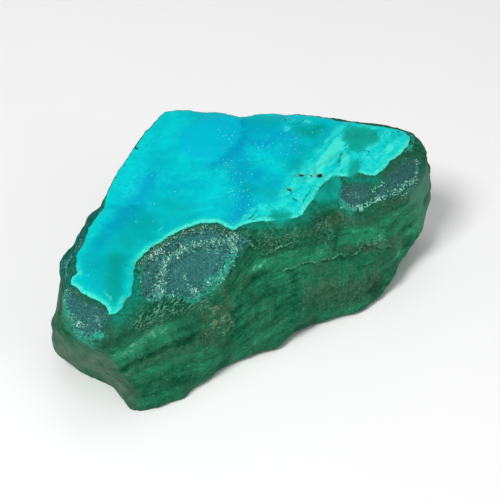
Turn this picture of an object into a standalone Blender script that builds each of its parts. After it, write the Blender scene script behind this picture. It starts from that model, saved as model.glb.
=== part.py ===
"""Raw malachite: one broken hand specimen with a blue-green chrysocolla crust on its top face.

The stone is a single solid. It is drawn as five outlines, one above the other (base, foot, belly, waist and
shoulder), skinned into a wall, and closed by a flat broken base and by the crust-covered top face. Sizes
below are millimetres; the mesh is written in metres, +Z up, with the origin under the middle of the stone
on the plane that it rests on.
"""

import bmesh
import bpy
import numpy as np
from mathutils import Vector, geometry, noise

MM = 0.001

# Driving dimensions of the top face: a plane that climbs towards the back and falls a little to the right.
TOP_HEIGHT = 27.9
TOP_CLIMB = 0.14
TOP_FALL = 0.03

# The crust ends in a low step, and the druse beyond it bends down towards the shoulder.
CRUST_STEP = 0.5
CRUST_STEP_WIDTH = 0.8
BEVEL_START = 0.4
BEVEL_SLOPE = 0.36
BEVEL_BEND = 0.028

# How far in from the crust's edge its domes reach their full height, and the same for the druse nodules.
DOME_FADE = 4.0
NODULE_FADE = 2.0

# Plan point (x, y) that the outlines are drawn around: every outline meets each bearing from it once.
CORE = (-3.0, 8.0)

# Mesh density: points round the wall, rows between outlines, and the spacing of points on the two end faces.
ROUND_COUNT = 144
ROWS_BETWEEN = (7, 4, 3, 2)
TOP_SPACING = 1.75
BASE_SPACING = 4.0
ROW_RATIO = 0.87  # of a staggered row's step to the spacing
NUDGE_SHARE = 0.22  # of the spacing, how far a point may move off its place
NUDGE_SCALE = 3.7
EDGE_SHARE = 0.62  # of the spacing, kept clear of the outline

# Plan outline (x, y) of the blue crust, anticlockwise from the tongue at the front corner.
CRUST = [
    (-22.5, -32.0), (-20.5, -29.0), (-20.0, -25.5), (-20.0, -20.5), (-18.5, -15.5), (-16.0, -12.5),
    (-12.5, -10.0), (-9.0, -8.0), (-5.5, -8.0), (-3.5, -9.0), (-2.0, -10.5), (0.0, -8.0), (2.5, -6.5),
    (6.0, -6.5), (9.5, -5.0), (12.0, -3.0), (14.0, 1.0), (16.0, 4.0), (18.0, 6.0), (21.0, 8.0),
    (23.0, 7.0), (25.5, 7.0), (28.0, 9.5), (31.0, 13.0), (34.0, 16.5), (35.0, 19.0), (33.5, 21.0),
    (28.0, 22.5), (23.5, 23.5), (18.5, 24.0), (13.0, 25.0), (7.5, 26.0), (2.5, 26.0), (-0.5, 24.5),
    (-3.0, 24.5), (-6.0, 25.5), (-10.0, 25.5), (-14.0, 26.0), (-18.5, 25.5), (-20.5, 22.0),
    (-22.5, 18.5), (-24.0, 15.0), (-26.0, 10.5), (-27.5, 6.5), (-28.5, 3.0), (-29.5, -1.0),
    (-30.0, -3.0), (-31.5, -7.5), (-32.5, -12.0), (-33.5, -15.5), (-34.0, -20.0), (-34.5, -24.0),
    (-32.5, -26.5), (-29.5, -28.5), (-27.0, -30.0), (-26.0, -32.0),
]

# Plan outline (x, y) of the shoulder, where the top face breaks over into the wall.
SHOULDER = [
    (-37.0, -19.2), (-36.3, -23.0), (-36.0, -27.0), (-35.0, -30.0), (-33.0, -33.5), (-28.5, -36.5),
    (-25.5, -35.5), (-22.5, -33.5), (-19.5, -31.0), (-16.5, -28.5), (-12.5, -25.0), (-9.0, -20.0),
    (-5.5, -18.0), (-3.0, -15.0), (-1.5, -12.0), (1.0, -9.0), (4.0, -8.0), (8.0, -7.5), (12.0, -5.5),
    (14.5, -2.5), (17.5, 0.5), (21.5, 0.5), (24.0, 0.5), (27.5, 2.5), (30.5, 5.0), (33.5, 7.5),
    (35.8, 10.3), (37.5, 13.2), (38.2, 16.5), (37.5, 19.0), (36.3, 21.4), (33.5, 22.8), (28.0, 24.2),
    (23.5, 25.0), (18.5, 25.5), (13.0, 26.3), (7.5, 26.9), (2.5, 26.9), (-0.5, 25.4), (-3.0, 25.4),
    (-6.0, 26.3), (-10.0, 26.6), (-14.0, 27.0), (-18.7, 26.3), (-20.8, 22.4), (-22.8, 18.8),
    (-24.3, 15.0), (-26.2, 10.5), (-27.8, 6.5), (-28.8, 3.0), (-29.8, -1.0), (-32.1, -3.4),
    (-33.4, -7.2), (-35.9, -11.8), (-37.0, -15.4),
]

# Outlines (x, y, z) of the wall below the shoulder, anticlockwise from the left end.
WAIST = [
    (-39.9, -21.0, 12.0), (-39.6, -23.5, 11.5), (-37.5, -27.0, 12.0), (-33.5, -30.0, 12.0),
    (-28.5, -33.5, 12.0), (-25.7, -35.4, 12.0), (-22.0, -34.0, 12.0), (-17.5, -31.0, 11.5),
    (-10.0, -26.0, 11.0), (-5.8, -22.2, 11.0), (-2.5, -18.4, 12.0), (2.0, -15.0, 13.0),
    (10.5, -10.0, 13.5), (19.0, -3.5, 13.0), (27.0, 1.5, 14.0), (33.8, 8.5, 14.0), (38.9, 16.0, 15.0),
    (40.5, 21.0, 16.0), (37.5, 26.0, 15.0), (31.0, 29.0, 14.0), (24.0, 28.4, 14.0), (18.0, 30.8, 13.0),
    (10.0, 31.5, 14.0), (3.0, 29.8, 12.0), (-5.0, 30.2, 11.0), (-12.0, 32.0, 13.0), (-19.0, 30.5, 14.0),
    (-23.5, 26.0, 13.0), (-25.5, 20.0, 11.0), (-29.5, 11.0, 13.0), (-32.0, 4.0, 11.0),
    (-36.0, -3.0, 10.0), (-38.1, -10.0, 12.0), (-39.2, -16.0, 12.0),
]
BELLY = [
    (-40.0, -21.0, 6.5), (-38.0, -24.0, 6.0), (-33.0, -27.5, 6.0), (-28.5, -31.0, 6.0),
    (-24.2, -34.6, 6.0), (-18.0, -32.6, 6.0), (-10.0, -27.6, 6.0), (-3.0, -20.5, 6.0),
    (6.5, -14.6, 6.5), (15.0, -8.6, 6.5), (23.5, -4.0, 6.5), (29.5, 1.5, 6.5), (33.8, 7.0, 7.0),
    (37.2, 11.2, 9.5), (38.7, 17.0, 9.5), (36.5, 23.0, 8.0), (29.0, 26.0, 7.0), (20.0, 28.5, 7.0),
    (12.0, 28.0, 6.5), (4.0, 30.0, 6.0), (-6.0, 28.0, 6.0), (-16.0, 28.8, 6.5), (-22.0, 25.0, 6.0),
    (-26.5, 16.0, 6.0), (-31.0, 7.0, 6.0), (-35.5, -4.0, 6.0), (-39.0, -14.0, 6.5),
]
FOOT = [
    (-38.5, -20.5, 2.5), (-35.0, -24.5, 2.5), (-31.5, -26.5, 2.0), (-28.0, -28.5, 2.0),
    (-26.2, -31.0, 1.5), (-25.0, -34.3, 1.2), (-22.8, -35.0, 1.2), (-18.2, -33.1, 1.2),
    (-14.3, -31.2, 1.5), (-10.6, -27.8, 1.5), (-7.0, -23.8, 1.5), (-3.3, -20.9, 1.5), (1.0, -18.5, 1.5),
    (6.3, -15.2, 1.5), (10.4, -11.9, 1.5), (15.0, -8.7, 1.5), (19.5, -6.5, 1.5), (23.5, -5.0, 1.5),
    (28.7, -1.3, 2.0), (31.0, 4.5, 2.5), (33.0, 10.0, 3.0), (34.0, 16.0, 3.0), (32.0, 21.0, 2.5),
    (26.0, 23.5, 2.0), (17.0, 25.0, 1.5), (8.0, 27.5, 1.5), (-2.0, 27.0, 1.5), (-10.0, 25.5, 1.5),
    (-18.0, 25.5, 1.5), (-22.5, 20.0, 1.5), (-27.0, 12.0, 1.5), (-31.5, 3.0, 1.5), (-35.0, -7.0, 1.5),
    (-37.5, -14.0, 2.0),
]

# Low domes of the botryoidal crust: (x, y, radius). The crust folds in where two domes meet.
DOMES = [
    (-10.1, 17.0, 11.5), (-22.5, 8.0, 10.0), (-9.5, 1.5, 13.0), (5.9, 3.8, 11.0), (8.9, 20.3, 10.5),
    (-28.0, -9.0, 9.0), (-28.2, -23.5, 9.5), (18.7, 14.7, 10.0), (29.2, 16.0, 9.0), (13.5, 4.0, 8.5),
]
DOME_RISE = 1.5
DOME_FLOOR = -0.6

# Rounded nodules in the druse between the crust and the shoulder: (x, y, radius, rise).
NODULES = [
    (-9.2, -15.8, 6.2, 1.1), (-16.0, -19.5, 6.0, 0.7), (-31.5, -30.5, 4.5, 0.8), (22.5, 3.4, 4.2, 0.8),
    (31.2, 9.2, 5.0, 0.8),
]

# Pits and missing flakes of the weathered right half of the crust: (x, y, radius, depth).
PITS = [
    (14.0, 7.3, 2.2, 1.0), (10.7, 7.0, 1.6, 0.8), (8.3, 3.0, 1.6, 0.7), (6.3, -5.0, 1.6, 0.5),
    (9.8, 24.0, 2.6, 0.5), (20.1, 11.9, 2.4, 0.6), (28.5, 9.8, 1.7, 0.6),
]

# Flat breaks that clip the wall: a point on each plane and the way that it faces.
CHIPS = [
    ((-36.0, -27.0, 9.0), (-0.45, -0.75, -0.50)),
    ((-41.0, -18.0, 12.0), (-0.98, 0.05, -0.20)),
    ((41.2, 20.0, 14.0), (0.96, -0.20, -0.20)),
    ((36.5, 27.5, 12.0), (0.62, 0.77, 0.15)),
    ((37.0, 23.5, 6.0), (0.70, 0.50, -0.50)),
    ((28.0, 29.0, 20.0), (0.25, 0.90, 0.36)),
    ((8.0, 32.4, 12.0), (-0.16, 0.97, -0.18)),
    ((-14.0, 31.6, 17.0), (0.16, 0.96, 0.24)),
    ((-23.0, 28.0, 17.0), (-0.74, 0.66, 0.14)),
    ((-28.0, 17.5, 7.0), (-0.84, 0.40, -0.36)),
    ((-37.0, -3.0, 9.0), (-0.88, 0.44, -0.16)),
]

# Ledges of the banded malachite: their spacing down the wall, how far each stands out, and the share of the
# pitch over which a ledge swells before it is undercut.
LEDGE_PITCH = 3.4
LEDGE_DEPTH = 0.55
LEDGE_SWELL = 0.72
LEDGE_UNEVEN = 0.35
LEDGE_BEAT = 0.9
LEDGE_WANDER = 2.2
LEDGE_WANDER_SIZE = 14.0
LEDGE_PATCH_SIZE = 9.0

# Rough breaks: (size of the lumps, how far they push the surface).
WALL_LUMPS = [(11.0, 0.9), (4.2, 0.42)]
WALL_FADE = (0.0, 0.3, 0.45, 0.7, 1.0)  # from either edge of the wall inwards
TOP_LUMPS = [(6.0, 0.25), (2.6, 0.16)]

# The back of the stone broke more roughly: the extra relief there, and the plan depths it grows between.
BACK_RELIEF = 1.4
BACK_FROM, BACK_FULL = 12.0, 27.0

# The gel-smooth left of the crust takes a share of the top lumps; the weathered right and the druse take all.
SMOOTH_SHARE = 0.35
WEATHERED_FROM = 8.0
WEATHERED_FADE = 8.0
DRUSE_WEIGHT = 6.0

# The rest face: how far it is set in from the foot, and the hollows where pieces have broken away.
BASE_INSET = 1.6
HOLLOW_DEPTH = 2.6
HOLLOW_SIZE = 13.0
HOLLOW_SHARE = 0.12
HOLLOW_FADE = 5.0

# Starting places in the noise, so that each kind of lump has its own pattern.
TOP_SEED, WALL_SEED, WANDER_SEED, PATCH_SEED, HOLLOW_SEED = 3.1, 7.3, 11.9, 5.5, 19.0

SHARP_ANGLE = 0.7  # radians between faces, past which an edge is drawn crisp
STONE_GREEN = (0.02, 0.22, 0.13, 1.0)
STONE_ROUGHNESS = 0.5


def outline_distance(x, y, outline):
    """Distance from each plan point to a closed outline, negative inside it."""
    start = np.array(outline)
    along = np.roll(start, -1, axis=0) - start
    from_start = np.stack([x, y], axis=1)[:, None] - start[None]
    share = np.clip((from_start * along).sum(2) / (along**2).sum(1), 0, 1)
    gap = from_start - share[..., None] * along
    nearest = np.sqrt((gap**2).sum(2)).min(1)
    end_y = start[:, 1] + along[:, 1]
    spans = (start[:, 1] > y[:, None]) != (end_y > y[:, None])
    rise = np.where(along[:, 1] == 0, 1e-9, along[:, 1])
    crossing = start[:, 0] + along[:, 0] * (y[:, None] - start[:, 1]) / rise
    inside = (spans & (x[:, None] < crossing)).sum(1) % 2 == 1
    return np.where(inside, -nearest, nearest)


def lumps(points, size, seed):
    """Smooth noise from -1 to 1 with lumps of the given size."""
    shift = Vector((seed, seed, seed))
    return np.array([noise.noise(Vector(p) / size + shift) for p in points])


def smooth_step(value, low, high):
    """Rises smoothly from 0 at the low value to 1 at the high one."""
    share = np.clip((value - low) / (high - low), 0, 1)
    return share * share * (3 - 2 * share)


def dome_rise(x, y):
    """The botryoidal relief of the crust: the highest of the domes over each plan point."""
    highest = np.full(len(x), DOME_FLOOR)
    for centre_x, centre_y, radius in DOMES:
        distance = np.hypot(x - centre_x, y - centre_y)
        highest = np.maximum(highest, DOME_RISE * (1 - (distance / radius) ** 2))
    return highest


def top_height(x, y):
    """Height of the top face: the plane, the crust's domes and step, and the druse bending down past it."""
    height = TOP_HEIGHT + TOP_CLIMB * y - TOP_FALL * x
    beyond = outline_distance(x, y, CRUST)
    bevel = np.maximum(beyond - BEVEL_START, 0)
    height -= BEVEL_SLOPE * bevel + BEVEL_BEND * bevel**2
    height += smooth_step(-beyond, 0, DOME_FADE) * (dome_rise(x, y) - 0.5 * DOME_RISE)
    height -= CRUST_STEP * smooth_step(beyond, 0, CRUST_STEP_WIDTH)
    for centre_x, centre_y, radius, rise in NODULES:
        cover = np.maximum(1 - (np.hypot(x - centre_x, y - centre_y) / radius) ** 2, 0)
        height += rise * np.sqrt(cover) * smooth_step(beyond, 0, NODULE_FADE)
    for pit_x, pit_y, radius, depth in PITS:
        height -= depth * smooth_step(radius - np.hypot(x - pit_x, y - pit_y), 0, radius)
    weathered = smooth_step(np.maximum(x - WEATHERED_FROM, beyond * DRUSE_WEIGHT), 0, WEATHERED_FADE)
    roughness = SMOOTH_SHARE + (1 - SMOOTH_SHARE) * weathered
    flat = np.stack([x, y, np.zeros(len(x))], axis=1)
    for size, push in TOP_LUMPS:
        height += push * roughness * lumps(flat, size, TOP_SEED)
    return height


def ring(outline, angles):
    """An outline's points read at the given bearings, as rows of radius and any height."""
    points = np.array(outline)
    x, y = points[:, 0] - CORE[0], points[:, 1] - CORE[1]
    bearing = np.arctan2(y, x)
    rows = np.column_stack([np.hypot(x, y), points[:, 2:]])
    return np.column_stack([np.interp(angles, bearing, column, period=2 * np.pi) for column in rows.T])


def even_bearings():
    """Bearings that space points evenly along the waist."""
    fine = np.linspace(-np.pi, np.pi, 2001)
    radius = ring(WAIST, fine)[:, 0]
    x, y = radius * np.cos(fine), radius * np.sin(fine)
    length = np.concatenate([[0], np.cumsum(np.hypot(np.diff(x), np.diff(y)))])
    return np.interp(np.arange(ROUND_COUNT) / ROUND_COUNT * length[-1], length, fine)


def plan(angles, radius):
    """Plan points at the given bearings and distances from the core."""
    return CORE[0] + radius * np.cos(angles), CORE[1] + radius * np.sin(angles)


def shoulder_row(angles):
    """Radius and height of the edge where the top face meets the wall."""
    radius = ring(SHOULDER, angles)[:, 0]
    return np.column_stack([radius, top_height(*plan(angles, radius))])


def base_row(angles):
    """Radius and height of the edge where the wall meets the flat base."""
    return np.column_stack([ring(FOOT, angles)[:, 0] - BASE_INSET, np.zeros(len(angles))])


def wall_grid(angles):
    """Rows of points from the shoulder down to the base, on curves through the five outlines."""
    middle = [ring(outline, angles) for outline in (WAIST, BELLY, FOOT)]
    outlines = np.array([shoulder_row(angles), *middle, base_row(angles)])
    slopes = np.gradient(outlines, axis=0)
    grid = []
    for level, rows in enumerate(ROWS_BETWEEN):
        for share in np.arange(rows) / rows:
            ease = share**2 * (3 - 2 * share)
            leaving = share * (1 - share) ** 2
            arriving = share**2 * (1 - share)
            row = (1 - ease) * outlines[level] + ease * outlines[level + 1]
            grid.append(row + leaving * slopes[level] - arriving * slopes[level + 1])
    grid.append(outlines[-1])
    return np.array([np.column_stack([*plan(angles, row[:, 0]), row[:, 1]]) for row in grid])


def outward(grid):
    """Outward directions over the wall grid."""
    around = np.roll(grid, -1, axis=1) - np.roll(grid, 1, axis=1)
    down = np.gradient(grid, axis=0)
    normal = np.cross(down, around)
    return normal / np.maximum(np.linalg.norm(normal, axis=2, keepdims=True), 1e-9)


def ledge(depth):
    """A saw-toothed profile down the wall: each band stands out and is undercut below."""
    phase = (depth / LEDGE_PITCH + LEDGE_UNEVEN * np.sin(depth * LEDGE_BEAT)) % 1.0
    return np.where(phase < LEDGE_SWELL, phase / LEDGE_SWELL, (1 - phase) / (1 - LEDGE_SWELL)) - 0.5


def roughen_wall(grid):
    """Lumps, ledges and flat breaks, fading out at the shoulder and at the base."""
    rows, count, _ = grid.shape
    points = grid.reshape(-1, 3)
    depth = top_height(points[:, 0], points[:, 1]) - points[:, 2]
    depth += LEDGE_WANDER * lumps(points, LEDGE_WANDER_SIZE, WANDER_SEED)
    push = LEDGE_DEPTH * ledge(depth) * (0.5 + 0.5 * lumps(points, LEDGE_PATCH_SIZE, PATCH_SEED))
    for size, amount in WALL_LUMPS:
        push += amount * lumps(points, size, WALL_SEED)
    push *= 1 + BACK_RELIEF * smooth_step(points[:, 1], BACK_FROM, BACK_FULL)
    from_edge = np.minimum(np.arange(rows), np.arange(rows)[::-1])
    fade = np.repeat(np.interp(from_edge, np.arange(len(WALL_FADE)), WALL_FADE), count)
    moved = points + outward(grid).reshape(-1, 3) * (push * fade)[:, None]
    for place, facing in CHIPS:
        normal = np.array(facing) / np.linalg.norm(facing)
        proud = np.maximum((moved - np.array(place)) @ normal, 0)
        moved = moved - np.outer(proud * fade, normal)
    return moved.reshape(rows, count, 3)


def scattered(outline, spacing):
    """Plan points inside an outline on a staggered grid, each nudged off its place."""
    low, high = np.min(outline, axis=0), np.max(outline, axis=0)
    found = []
    for row, y in enumerate(np.arange(low[1], high[1], spacing * ROW_RATIO)):
        for x in np.arange(low[0] + (row % 2) * spacing / 2, high[0], spacing):
            nudge = noise.noise_vector(Vector((x, y, 0)) * NUDGE_SCALE) * NUDGE_SHARE * spacing
            found.append((x + nudge.x, y + nudge.y))
    found = np.array(found)
    return found[outline_distance(found[:, 0], found[:, 1], outline) < -EDGE_SHARE * spacing]


def fill(outline, inner):
    """Triangles that fill an outline by way of the inner points, as indices into outline + inner."""
    count = len(outline)
    points = [Vector(p) for p in outline] + [Vector(p) for p in inner]
    edges = [(i, (i + 1) % count) for i in range(count)]
    _, _, faces, sources, _, _ = geometry.delaunay_2d_cdt(points, edges, [], 1, 1e-4)
    return [tuple(sources[i][0] for i in face) for face in faces]


def base_height(x, y, outline):
    """The rest face: flat, with shallow hollows where pieces have broken away near its edge."""
    flat = np.stack([x, y, np.zeros(len(x))], axis=1)
    hollow = np.maximum(lumps(flat, HOLLOW_SIZE, HOLLOW_SEED) - HOLLOW_SHARE, 0)
    return HOLLOW_DEPTH * hollow * smooth_step(-outline_distance(x, y, outline), 0, HOLLOW_FADE)


def stone_mesh():
    """Points and triangles of the whole stone: the wall, the top face and the base."""
    grid = roughen_wall(wall_grid(even_bearings()))
    rows, count, _ = grid.shape
    faces = []
    for row in range(rows - 1):
        for i in range(count):
            upper, upper_next = row * count + i, row * count + (i + 1) % count
            lower, lower_next = upper + count, upper_next + count
            faces += [(upper, lower, lower_next), (upper, lower_next, upper_next)]
    top_edge, base_edge = grid[0, :, :2], grid[-1, :, :2]
    top_inner = scattered(top_edge, TOP_SPACING)
    base_inner = scattered(base_edge, BASE_SPACING)
    top_z = top_height(*top_inner.T)
    base_z = base_height(*base_inner.T, base_edge)
    first_top = rows * count
    first_base = first_top + len(top_inner)
    last_row = (rows - 1) * count
    for face in fill(top_edge, top_inner):
        faces.append(tuple(i if i < count else first_top + i - count for i in face))
    for face in fill(base_edge, base_inner):
        faces.append(tuple(last_row + i if i < count else first_base + i - count for i in face[::-1]))
    top, base = np.column_stack([top_inner, top_z]), np.column_stack([base_inner, base_z])
    return np.concatenate([grid.reshape(-1, 3), top, base]), faces


def centred(points):
    """Moves the stone so that its box is centred on the origin and stands on z = 0."""
    low, high = points.min(axis=0), points.max(axis=0)
    return points - np.array([(low[0] + high[0]) / 2, (low[1] + high[1]) / 2, low[2]])


def stone_material():
    material = bpy.data.materials.new("malachite")
    material.use_nodes = True
    shader = material.node_tree.nodes["Principled BSDF"]
    shader.inputs["Base Color"].default_value = STONE_GREEN
    shader.inputs["Roughness"].default_value = STONE_ROUGHNESS
    shader.inputs["Metallic"].default_value = 0.0
    return material


def main():
    for old in list(bpy.data.objects):
        bpy.data.objects.remove(old)
    points, faces = stone_mesh()
    mesh = bpy.data.meshes.new("malachite_stone")
    mesh.from_pydata([tuple(p * MM) for p in centred(points)], [], faces)
    mesh.validate()
    solid = bmesh.new()
    solid.from_mesh(mesh)
    bmesh.ops.recalc_face_normals(solid, faces=solid.faces)
    solid.to_mesh(mesh)
    solid.free()
    mesh.shade_smooth()
    mesh.set_sharp_from_angle(angle=SHARP_ANGLE)
    mesh.materials.append(stone_material())
    stone = bpy.data.objects.new("malachite_stone", mesh)
    bpy.context.scene.collection.objects.link(stone)


main()
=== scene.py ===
"""Looks of the raw malachite specimen: its skin, its druse and the studio around it.

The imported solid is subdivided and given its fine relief: the lip of the blue-green crust, its cracks and
pits, the sandy druse, and the ledges of the banded wall. Fields that say what lies where (crust, druse,
chalky weathering, depth below the top face) are kept on the mesh, and one node material reads them.
Sizes are millimetres in the outline frame of the part's source, which MIDDLE shifts to the part's own frame.
Colours are in 0-255 sRGB.
"""

import math
from functools import partialmethod

import bmesh
import bpy
import numpy as np
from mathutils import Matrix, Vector, noise


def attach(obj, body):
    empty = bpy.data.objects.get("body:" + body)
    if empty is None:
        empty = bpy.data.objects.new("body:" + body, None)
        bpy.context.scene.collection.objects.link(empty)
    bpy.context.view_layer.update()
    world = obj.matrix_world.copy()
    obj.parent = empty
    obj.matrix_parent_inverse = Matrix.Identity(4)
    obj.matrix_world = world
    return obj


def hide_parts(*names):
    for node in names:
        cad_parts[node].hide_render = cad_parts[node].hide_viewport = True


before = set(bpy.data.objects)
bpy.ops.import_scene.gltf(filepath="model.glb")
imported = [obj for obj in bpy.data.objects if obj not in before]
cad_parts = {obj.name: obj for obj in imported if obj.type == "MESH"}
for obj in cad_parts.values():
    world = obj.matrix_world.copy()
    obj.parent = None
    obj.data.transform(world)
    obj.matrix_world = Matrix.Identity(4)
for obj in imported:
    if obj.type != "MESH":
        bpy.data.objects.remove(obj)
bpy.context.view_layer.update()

MM = 0.001
MIDDLE = np.array([0.11, -2.93, 0.0])  # middle of the stone's box, in the outline frame

# The camera at the photograph's angle.
CAMERA_TARGET = np.array([0, 0, 14])
CAMERA_ELEVATION = math.radians(40)
CAMERA_DISTANCE = 294
LENS = 100
SENSOR_WIDTH = 36
NEAREST_SEEN = 10

# The studio, in metres and watts in the part's own frame.
FLOOR_SIZE = 4
WORLD_LIGHT = 0.28
LIT_PLACE = (0, 0, 0.01)
LIGHTS = [  # name, place, size, power
    ("key", (-0.30, -0.42, 0.70), 0.25, 5.2),
    ("fill", (0.60, -0.45, 0.40), 0.5, 1.2),
    ("top", (0.05, 0.10, 0.90), 0.6, 1.2),
]

# The top face, as in the part's source.
TOP_HEIGHT = 27.9
TOP_CLIMB = 0.14
TOP_FALL = 0.03
BEVEL_START = 0.4
BEVEL_SLOPE = 0.36
BEVEL_BEND = 0.028

WALL_START = 2.2  # how far below it the wall begins
CRISP_ANGLE = 0.5  # edges that turn by more, in radians, are kept crisp

# Plan outlines of the crust and of the whole top face, in places a little wider than in the part's source.
CRUST = [
    (-26.7, -31.3), (-25.4, -31), (-24.3, -29.7), (-23.8, -27.7), (-22.7, -26.4), (-22.5, -23.8),
    (-22.6, -20.7), (-22.2, -17.7), (-21, -15.5), (-18.4, -12.7), (-15.8, -10.6), (-13.5, -9.1),
    (-10.9, -7.7), (-8.8, -7.1), (-6.5, -7.1), (-4.7, -8.1), (-3.1, -8.9), (-1.7, -7.6), (-0.2, -6.9),
    (1.4, -6.4), (3.2, -6.2), (7.4, -5.6), (9, -5.1), (10.8, -4), (11.6, -2.4), (12.9, -0.2), (14, 1.7),
    (14.6, 3.4), (16, 5.2), (17.1, 6.6), (19.4, 6.9), (20.9, 7.3), (22.4, 8.3), (24.3, 7.5), (26.2, 7.7),
    (27.5, 8.7), (28.7, 10.2), (29.8, 11.9), (32.4, 14.5), (34, 17), (34.6, 19.4), (33.5, 21.3), (28, 22.9),
    (23.5, 23.9), (18.5, 24.4), (13, 26), (7.5, 27.1), (2.5, 27.1), (-0.5, 25.5), (-3, 25.5), (-6, 26.4),
    (-10, 26.6), (-14, 26.9), (-18.7, 26), (-20.7, 22.2), (-22.7, 18.7), (-24.1, 15), (-26, 10.5),
    (-27.8, 6.5), (-28.8, 2.9), (-29.7, -1), (-30.3, -3.6), (-31.1, -6.8), (-32.3, -9.2), (-32.9, -11.4),
    (-33.4, -13.6), (-34.1, -15.9), (-34.2, -18.3), (-33.6, -21.3), (-34.7, -21.9), (-34.8, -23.5),
    (-32.3, -26.3), (-29.2, -28.2), (-27.3, -29.5),
]
SHOULDER = [
    (-37, -19.2), (-36.3, -23), (-36, -27), (-35, -30), (-33, -33.5), (-28.5, -36.5), (-25.5, -35.5),
    (-22.5, -33.5), (-19.5, -31), (-16.5, -28.5), (-12.5, -25), (-9, -20), (-5.5, -18), (-3, -15),
    (-1.5, -12), (1, -9), (4, -8), (8, -7.5), (12, -5.5), (14.5, -2.5), (17.5, 0.5), (21.5, 0.5), (24, 0.5),
    (27.5, 2.5), (30.5, 5), (33.5, 7.5), (35.8, 10.3), (37.5, 13.2), (38.2, 16.5), (37.5, 19), (36.3, 21.4),
    (33.5, 22.8), (28, 24.2), (23.5, 25), (18.5, 25.5), (13, 26.8), (7.5, 27.6), (2.5, 27.6), (-0.5, 26),
    (-3, 26), (-6, 26.7), (-10, 26.6), (-14, 27), (-18.7, 26.3), (-20.8, 22.4), (-22.8, 18.8), (-24.3, 15),
    (-26.2, 10.5), (-27.8, 6.5), (-28.8, 3), (-29.8, -1), (-32.1, -3.4), (-33.4, -7.2), (-35.9, -11.8),
    (-37, -15.4),
]
# The slightly bluer dome of the crust, and its chalky half.
BLUE_DOME = [
    (-2, 24), (-2, 18.7), (-3.3, 16), (-5.1, 13), (-6.5, 11.4), (-8.3, 10.6), (-10.5, 10.7), (-12.6, 11.2),
    (-15, 13.2), (-15.1, 16.1), (-13.5, 19.4), (-11.2, 22.5), (-7, 24.5),
]
CHALK_AREA = [
    (-3.2, -7), (0.4, -2.8), (5.6, 0.6), (9, 8), (13.6, 13.8), (17, 18.4), (20.6, 25), (40, 25), (40, -12),
    (-1, -12),
]
# Outlines that wander a little: each named field keeps the distance to the nearest of its own.
PATCHES = {}
# The slate-grey druse beside the crust, and the smoother lobes within its largest patch.
PATCHES["druse_edge"] = [
    [
        (-20.6, -25.6), (-20.9, -21.3), (-21.2, -17.6), (-19.4, -14.4), (-16.4, -11.6), (-13.2, -9.6),
        (-9.2, -7.9), (-6, -7.8), (-3.2, -9.5), (-0.6, -10.6), (-2.2, -12.8), (-3.6, -15.1), (-5.2, -17.2),
        (-7.5, -18.6), (-9.9, -20.3), (-12.2, -22.3), (-15.2, -24.1), (-17.7, -26.3), (-19.5, -27.4),
    ],
    [
        (-35.1, -23.9), (-33.7, -25.7), (-31.6, -28.1), (-29.1, -29.2), (-27.4, -30.4), (-27.1, -32.5),
        (-28.4, -34.2), (-29.9, -34.7), (-32.6, -33.4), (-34.9, -30.1), (-35.9, -27.4), (-35.8, -25.2),
    ],
    [
        (19.4, 5), (21.1, 5.7), (23.8, 5.4), (25.1, 4.3), (24.7, 3), (23.7, 1.9), (21.3, 0.7), (20, 0.7),
        (18.8, 1.7), (18.7, 3.2),
    ],
    [
        (26.6, 4.4), (28.6, 7.2), (30.6, 10.3), (32.3, 12.4), (35, 14.6), (36.2, 14), (36, 11.8),
        (35.2, 9.4), (33.2, 7.2), (31, 5.6), (28.8, 4), (26.4, 2.6), (25.4, 3),
    ],
]
PATCHES["lobe"] = [
    [
        (-15.8, -23.4), (-15.9, -20.9), (-15.2, -18.1), (-13.6, -15.8), (-11.4, -13.9), (-9, -12.6),
        (-6.6, -12), (-5, -12.4), (-5.8, -14.4), (-7.2, -16.4), (-9.3, -18.9), (-11.8, -21.6),
        (-14.1, -23.6),
    ],
    [
        (-20.4, -24.9), (-20.8, -21.8), (-20.2, -19.2), (-18.9, -17.4), (-17, -15.9), (-17.2, -17.5),
        (-18.4, -19.5), (-19, -22.4), (-19.3, -24.9),
    ],
    [
        (-14.2, -12.3), (-12, -10.6), (-9.4, -9.2), (-6.4, -9), (-4.6, -9.8), (-5.8, -10.4), (-8.6, -11),
        (-11.6, -12.6), (-13.7, -13.7),
    ],
]
# Smooth green windows where the crust has flaked off.
PATCHES["window_edge"] = [
    [
        (21.4, 22.6), (20, 19.9), (19.6, 17), (21.3, 14.9), (22.8, 14), (24.3, 14.8), (25, 15.7),
        (27.8, 16.9), (27.6, 19.1), (27.9, 21.7), (26.1, 22.4),
    ],
    [
        (14.6, 3.4), (13.2, 0.4), (14.6, -0.2), (16.6, 0.8), (18.4, 1.6), (18.9, 3), (19.2, 5), (18.8, 6.5),
        (17.1, 6.8),
    ],
    [(4, -5.6), (4.4, -3.5), (6.4, -2.8), (8.4, -3.6), (8.6, -5.4), (6.3, -6.8)],
    [(20.1, 7.3), (20.6, 9.2), (21.6, 11.3), (22.8, 12.2), (23.5, 10.7), (22.9, 8.6), (21.3, 7.1)],
]

# Soft strokes for named fields: (width, strength, points of its path). These keep their exact place in plan.
ON_PLAN = {}
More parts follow.
